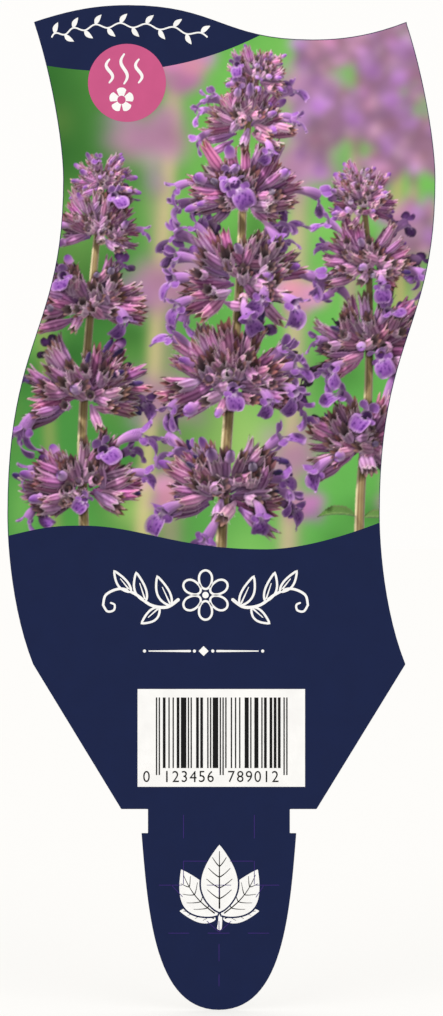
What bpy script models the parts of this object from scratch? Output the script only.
"""Plant label: one flat piece of white plastic sheet, die-cut and printed on its front.

Metres, +Z up. The front faces -Y and the back lies in the plane Y = 0. X = 0 is the middle
of the tongue, and Z = 0 is the height of the two shoulders that rest on the soil or pot rim.
"""

import bmesh
import bpy
from mathutils import Vector

MM = 0.001

# Sheet
SHEET_THICKNESS = 0.5 * MM
EDGE_ROLL = 0.08 * MM

# Panel that carries the print. Both side edges are one curve, PANEL_WIDTH apart.
PANEL_WIDTH = 70.90 * MM
TOP_LEFT = (-35.23, 149.91)
BULGE_IN = (-29.66, 120.00)
BULGE_OUT = (-40.28, 56.10)
LOW_LEFT = (-35.38, 27.58)
TOP_LEFT_PULL = (-31.95, 140.11)
LOW_LEFT_PULL = (-39.29, 37.39)
BULGE_IN_PULLS = (6.87, 29.11)
BULGE_OUT_PULLS = (34.19, 6.36)

# Waved top edge, between the two top corners
CREST = (-17.28, 153.12)
TROUGH = (17.72, 146.56)
TOP_LEFT_RISE = (-27.65, 152.45)
TOP_RIGHT_RISE = (27.92, 146.88)
CREST_PULLS = (5.36, 16.95)
TROUGH_PULLS = (17.00, 4.37)

# Neck with a notch on each side, for a slot in a pot's rim
SHOULDER_HALF_WIDTH = 18.60 * MM
NECK_HALF_WIDTH = 13.51 * MM
NECK_HEIGHT = 4.57 * MM

# Tongue that goes into the soil
TONGUE_HALF_WIDTH = 14.74 * MM
TONGUE_TIP = -38.24
TONGUE_SIDE_PULL = (13.49, -20.27)
TONGUE_TIP_PULL = 12.17

SIDE_STEPS = (12, 24, 12)
TOP_STEPS = (10, 16, 10)
TONGUE_STEPS = 28

WHITE_PLASTIC = (0.86, 0.86, 0.84, 1.0)
NAVY_INK = (0.014, 0.021, 0.065, 1.0)
PLASTIC_ROUGHNESS = 0.45
INK_ROUGHNESS = 0.35


def clear_scene():
    for obj in list(bpy.data.objects):
        bpy.data.objects.remove(obj)


def point(pair):
    """A point of the outline, in metres, from its X and Z in millimetres."""
    return Vector((pair[0] * MM, pair[1] * MM))


def bezier(start, start_pull, end_pull, end, steps):
    """Points along a cubic curve, without its last one."""
    found = []
    for step in range(steps):
        t = step / steps
        s = 1 - t
        found.append(
            start * s**3 + start_pull * (3 * s * s * t) + end_pull * (3 * s * t * t) + end * t**3
        )
    return found


def side_edge():
    """The left side from the top corner down to the low corner, in three S-shaped stretches."""
    top, bulge_in, bulge_out, low = map(point, (TOP_LEFT, BULGE_IN, BULGE_OUT, LOW_LEFT))
    up, down = Vector((0, MM)), Vector((0, -MM))
    edge = bezier(top, point(TOP_LEFT_PULL), bulge_in + up * BULGE_IN_PULLS[0], bulge_in, SIDE_STEPS[0])
    edge += bezier(
        bulge_in,
        bulge_in + down * BULGE_IN_PULLS[1],
        bulge_out + up * BULGE_OUT_PULLS[0],
        bulge_out,
        SIDE_STEPS[1],
    )
    edge += bezier(bulge_out, bulge_out + down * BULGE_OUT_PULLS[1], point(LOW_LEFT_PULL), low, SIDE_STEPS[2])
    return edge + [low]


def top_edge():
    """The wave from the top left corner to the top right one, without that last corner."""
    left, crest, trough = map(point, (TOP_LEFT, CREST, TROUGH))
    right = left + Vector((PANEL_WIDTH, 0))
    across = Vector((MM, 0))
    edge = bezier(left, point(TOP_LEFT_RISE), crest - across * CREST_PULLS[0], crest, TOP_STEPS[0])
    edge += bezier(
        crest, crest + across * CREST_PULLS[1], trough - across * TROUGH_PULLS[0], trough, TOP_STEPS[1]
    )
    edge += bezier(trough, trough + across * TROUGH_PULLS[1], point(TOP_RIGHT_RISE), right, TOP_STEPS[2])
    return edge


def tongue_edge():
    """The tongue's outline from its right barb round the tip to its left barb."""
    barb = Vector((TONGUE_HALF_WIDTH, -NECK_HEIGHT))
    tip = point((0, TONGUE_TIP))
    tip_pull = point((TONGUE_TIP_PULL, TONGUE_TIP))
    right = bezier(barb, point(TONGUE_SIDE_PULL), tip_pull, tip, TONGUE_STEPS)
    left = [Vector((-p.x, p.y)) for p in reversed(right)]
    return right + [tip] + left


def outline():
    """The whole die-cut outline in the XZ plane, clockwise as seen from the front."""
    left = side_edge()
    right = [p + Vector((PANEL_WIDTH, 0)) for p in left]
    neck = [(SHOULDER_HALF_WIDTH, 0), (NECK_HALF_WIDTH, 0), (NECK_HALF_WIDTH, -NECK_HEIGHT)]
    right_neck = [Vector(p) for p in neck]
    left_neck = [Vector((-p.x, p.y)) for p in reversed(right_neck)]
    left_up = list(reversed(left))[:-1]
    return top_edge() + right + right_neck + tongue_edge() + left_neck + left_up


def make_material(name, colour, roughness):
    material = bpy.data.materials.new(name)
    material.use_nodes = True
    shader = material.node_tree.nodes["Principled BSDF"]
    shader.inputs["Base Color"].default_value = colour
    shader.inputs["Roughness"].default_value = roughness
    shader.inputs["Metallic"].default_value = 0.0
    return material


def make_sheet():
    """The sheet itself: the outline as one face, extruded back by the sheet's thickness."""
    mesh = bpy.data.meshes.new("label_sheet")
    bm = bmesh.new()
    front = bm.faces.new([bm.verts.new((p.x, -SHEET_THICKNESS, p.y)) for p in outline()])
    grown = bmesh.ops.extrude_face_region(bm, geom=[front], use_keep_orig=True)
    back = [v for v in grown["geom"] if isinstance(v, bmesh.types.BMVert)]
    bmesh.ops.translate(bm, verts=back, vec=(0, SHEET_THICKNESS, 0))
    bmesh.ops.recalc_face_normals(bm, faces=bm.faces)
    for face in bm.faces:
        face.material_index = 1 if face.normal.y < -0.5 else 0
    bm.to_mesh(mesh)
    bm.free()
    sheet = bpy.data.objects.new("label_sheet", mesh)
    bpy.context.scene.collection.objects.link(sheet)
    mesh.materials.append(make_material("white_plastic", WHITE_PLASTIC, PLASTIC_ROUGHNESS))
    mesh.materials.append(make_material("navy_ink", NAVY_INK, INK_ROUGHNESS))
    roll = sheet.modifiers.new("die_cut_edge", "BEVEL")
    roll.width = EDGE_ROLL
    roll.segments = 1
    roll.limit_method = "ANGLE"
    return sheet


clear_scene()
make_sheet()
